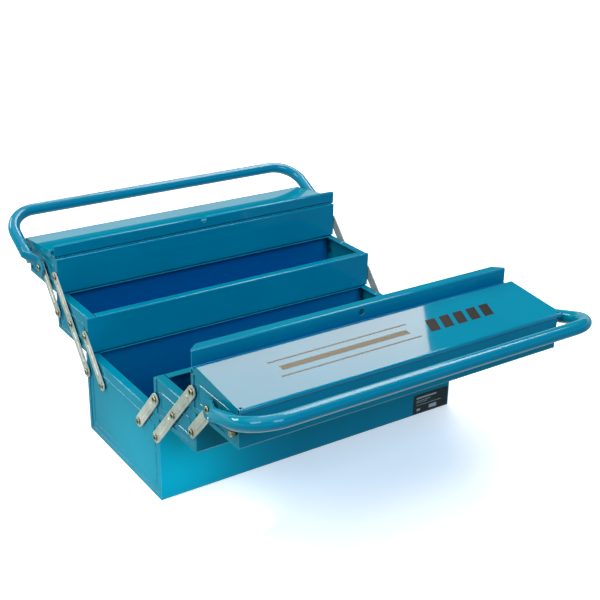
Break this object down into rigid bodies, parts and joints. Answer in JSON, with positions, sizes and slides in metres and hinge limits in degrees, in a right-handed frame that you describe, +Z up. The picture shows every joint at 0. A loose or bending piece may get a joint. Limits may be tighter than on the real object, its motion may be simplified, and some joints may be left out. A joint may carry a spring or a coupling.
{
  "type": "cantilever toolbox",
  "caption": "Open cantilever toolbox of painted sheet steel: deep base, stepped trays on swinging links, sloping lids and tube handles.",
  "frame": {"origin": "centre of the base's underside", "axes": "+X along the length to the right end, -Y towards the front wing with the padlock eye, +Z up"},
  "size_m": [0.479, 0.6625, 0.2385],
  "materials": {
    "blue_enamel": "gloss stoving enamel, teal blue",
    "zinc_link": "bright zinc plate",
    "brass_rivet": "brass-plated tubular rivets",
    "steel_rod": "drawn steel wire",
    "label_film": "plain dark film, no print"
  },
  "bodies": {
    "base": {"base_body": "blue_enamel", "base_end_left": "blue_enamel", "base_end_right": "blue_enamel", "base_label": "label_film", "base_rivets": "brass_rivet"},
    "front_long_link_left": {"front_long_link_left": "zinc_link"},
    "front_lower_link_left": {"front_lower_link_left": "zinc_link"},
    "front_upper_link_left": {"front_upper_link_left": "zinc_link"},
    "front_long_link_right": {"front_long_link_right": "zinc_link"},
    "front_lower_link_right": {"front_lower_link_right": "zinc_link"},
    "front_upper_link_right": {"front_upper_link_right": "zinc_link"},
    "front_mid_tray": {"front_mid_tray": "blue_enamel", "front_mid_end_left": "blue_enamel", "front_mid_end_right": "blue_enamel", "front_mid_rivets": "brass_rivet"},
    "front_upper_tray": {"front_upper_tray": "blue_enamel", "front_upper_end_left": "blue_enamel", "front_upper_end_right": "blue_enamel", "front_upper_rivets": "brass_rivet", "front_handle_rivets": "brass_rivet", "front_handle_stops": "brass_rivet", "front_hinge_rod": "steel_rod"},
    "front_lid": {"front_lid": "blue_enamel", "front_closing_strip": "blue_enamel"},
    "front_handle": {"front_handle": "blue_enamel"},
    "rear_long_link_left": {"rear_long_link_left": "zinc_link"},
    "rear_lower_link_left": {"rear_lower_link_left": "zinc_link"},
    "rear_upper_link_left": {"rear_upper_link_left": "zinc_link"},
    "rear_long_link_right": {"rear_long_link_right": "zinc_link"},
    "rear_lower_link_right": {"rear_lower_link_right": "zinc_link"},
    "rear_upper_link_right": {"rear_upper_link_right": "zinc_link"},
    "rear_mid_tray": {"rear_mid_tray": "blue_enamel", "rear_mid_end_left": "blue_enamel", "rear_mid_end_right": "blue_enamel", "rear_mid_rivets": "brass_rivet"},
    "rear_upper_tray": {"rear_upper_tray": "blue_enamel", "rear_upper_end_left": "blue_enamel", "rear_upper_end_right": "blue_enamel", "rear_upper_rivets": "brass_rivet", "rear_handle_rivets": "brass_rivet", "rear_handle_stops": "brass_rivet", "rear_hinge_rod": "steel_rod"},
    "rear_lid": {"rear_lid": "blue_enamel", "rear_closing_strip": "blue_enamel"},
    "rear_handle": {"rear_handle": "blue_enamel"}
  },
  "joints": [
    {"name": "front_wing", "type": "hinge", "parent": "base", "child": "front_long_link_left", "pos_m": [-0.21975, -0.0955, 0.084], "axis": [-1, 0, 0], "range_deg": [0, 83.38]},
    {"name": "front_long_link_right_pivot", "type": "hinge", "parent": "base", "child": "front_long_link_right", "pos_m": [0.21975, -0.0955, 0.084], "axis": [-1, 0, 0], "range_deg": [0, 83.38]},
    {"name": "front_lower_link_left_pivot", "type": "hinge", "parent": "base", "child": "front_lower_link_left", "pos_m": [-0.21975, -0.052, 0.084], "axis": [-1, 0, 0], "range_deg": [0, 83.38]},
    {"name": "front_lower_link_right_pivot", "type": "hinge", "parent": "base", "child": "front_lower_link_right", "pos_m": [0.21975, -0.052, 0.084], "axis": [-1, 0, 0], "range_deg": [0, 83.38]},
    {"name": "front_mid_tray_pivot", "type": "hinge", "parent": "front_long_link_left", "child": "front_mid_tray", "pos_m": [-0.21975, -0.1395, 0.1334], "axis": [-1, 0, 0], "range_deg": [-83.38, 0]},
    {"name": "front_upper_tray_pivot", "type": "hinge", "parent": "front_long_link_left", "child": "front_upper_tray", "pos_m": [-0.21975, -0.1835, 0.1828], "axis": [-1, 0, 0], "range_deg": [-83.38, 0]},
    {"name": "front_upper_link_left_pivot", "type": "hinge", "parent": "front_mid_tray", "child": "front_upper_link_left", "pos_m": [-0.21975, -0.182, 0.1334], "axis": [-1, 0, 0], "range_deg": [0, 83.38]},
    {"name": "front_upper_link_right_pivot", "type": "hinge", "parent": "front_mid_tray", "child": "front_upper_link_right", "pos_m": [0.21975, -0.182, 0.1334], "axis": [-1, 0, 0], "range_deg": [0, 83.38]},
    {"name": "front_lid_hinge", "type": "hinge", "parent": "front_upper_tray", "child": "front_lid", "pos_m": [0, -0.2793, 0.2039], "axis": [1, 0, 0], "range_deg": [0, 100]},
    {"name": "front_handle_pivot", "type": "hinge", "parent": "front_upper_tray", "child": "front_handle", "pos_m": [0, -0.226, 0.1828], "axis": [-1, 0, 0], "range_deg": [-11, 97]},
    {"name": "rear_wing", "type": "hinge", "parent": "base", "child": "rear_long_link_left", "pos_m": [-0.21975, 0.0955, 0.084], "axis": [1, 0, 0], "range_deg": [0, 83.38]},
    {"name": "rear_long_link_right_pivot", "type": "hinge", "parent": "base", "child": "rear_long_link_right", "pos_m": [0.21975, 0.0955, 0.084], "axis": [1, 0, 0], "range_deg": [0, 83.38]},
    {"name": "rear_lower_link_left_pivot", "type": "hinge", "parent": "base", "child": "rear_lower_link_left", "pos_m": [-0.21975, 0.052, 0.084], "axis": [1, 0, 0], "range_deg": [0, 83.38]},
    {"name": "rear_lower_link_right_pivot", "type": "hinge", "parent": "base", "child": "rear_lower_link_right", "pos_m": [0.21975, 0.052, 0.084], "axis": [1, 0, 0], "range_deg": [0, 83.38]},
    {"name": "rear_mid_tray_pivot", "type": "hinge", "parent": "rear_long_link_left", "child": "rear_mid_tray", "pos_m": [-0.21975, 0.1395, 0.1334], "axis": [1, 0, 0], "range_deg": [-83.38, 0]},
    {"name": "rear_upper_tray_pivot", "type": "hinge", "parent": "rear_long_link_left", "child": "rear_upper_tray", "pos_m": [-0.21975, 0.1835, 0.1828], "axis": [1, 0, 0], "range_deg": [-83.38, 0]},
    {"name": "rear_upper_link_left_pivot", "type": "hinge", "parent": "rear_mid_tray", "child": "rear_upper_link_left", "pos_m": [-0.21975, 0.182, 0.1334], "axis": [1, 0, 0], "range_deg": [0, 83.38]},
    {"name": "rear_upper_link_right_pivot", "type": "hinge", "parent": "rear_mid_tray", "child": "rear_upper_link_right", "pos_m": [0.21975, 0.182, 0.1334], "axis": [1, 0, 0], "range_deg": [0, 83.38]},
    {"name": "rear_lid_hinge", "type": "hinge", "parent": "rear_upper_tray", "child": "rear_lid", "pos_m": [0, 0.2793, 0.2039], "axis": [-1, 0, 0], "range_deg": [0, 100]},
    {"name": "rear_handle_pivot", "type": "hinge", "parent": "rear_upper_tray", "child": "rear_handle", "pos_m": [0, 0.226, 0.1828], "axis": [1, 0, 0], "range_deg": [-22, 86]}
  ],
  "couplings": [
    {"joint": "front_long_link_right_pivot", "follows": "front_wing", "ratio": 1},
    {"joint": "front_lower_link_left_pivot", "follows": "front_wing", "ratio": 1},
    {"joint": "front_lower_link_right_pivot", "follows": "front_wing", "ratio": 1},
    {"joint": "front_mid_tray_pivot", "follows": "front_wing", "ratio": -1},
    {"joint": "front_upper_tray_pivot", "follows": "front_wing", "ratio": -1},
    {"joint": "front_upper_link_left_pivot", "follows": "front_wing", "ratio": 1},
    {"joint": "front_upper_link_right_pivot", "follows": "front_wing", "ratio": 1},
    {"joint": "rear_long_link_right_pivot", "follows": "rear_wing", "ratio": 1},
    {"joint": "rear_lower_link_left_pivot", "follows": "rear_wing", "ratio": 1},
    {"joint": "rear_lower_link_right_pivot", "follows": "rear_wing", "ratio": 1},
    {"joint": "rear_mid_tray_pivot", "follows": "rear_wing", "ratio": -1},
    {"joint": "rear_upper_tray_pivot", "follows": "rear_wing", "ratio": -1},
    {"joint": "rear_upper_link_left_pivot", "follows": "rear_wing", "ratio": 1},
    {"joint": "rear_upper_link_right_pivot", "follows": "rear_wing", "ratio": 1}
  ]
}
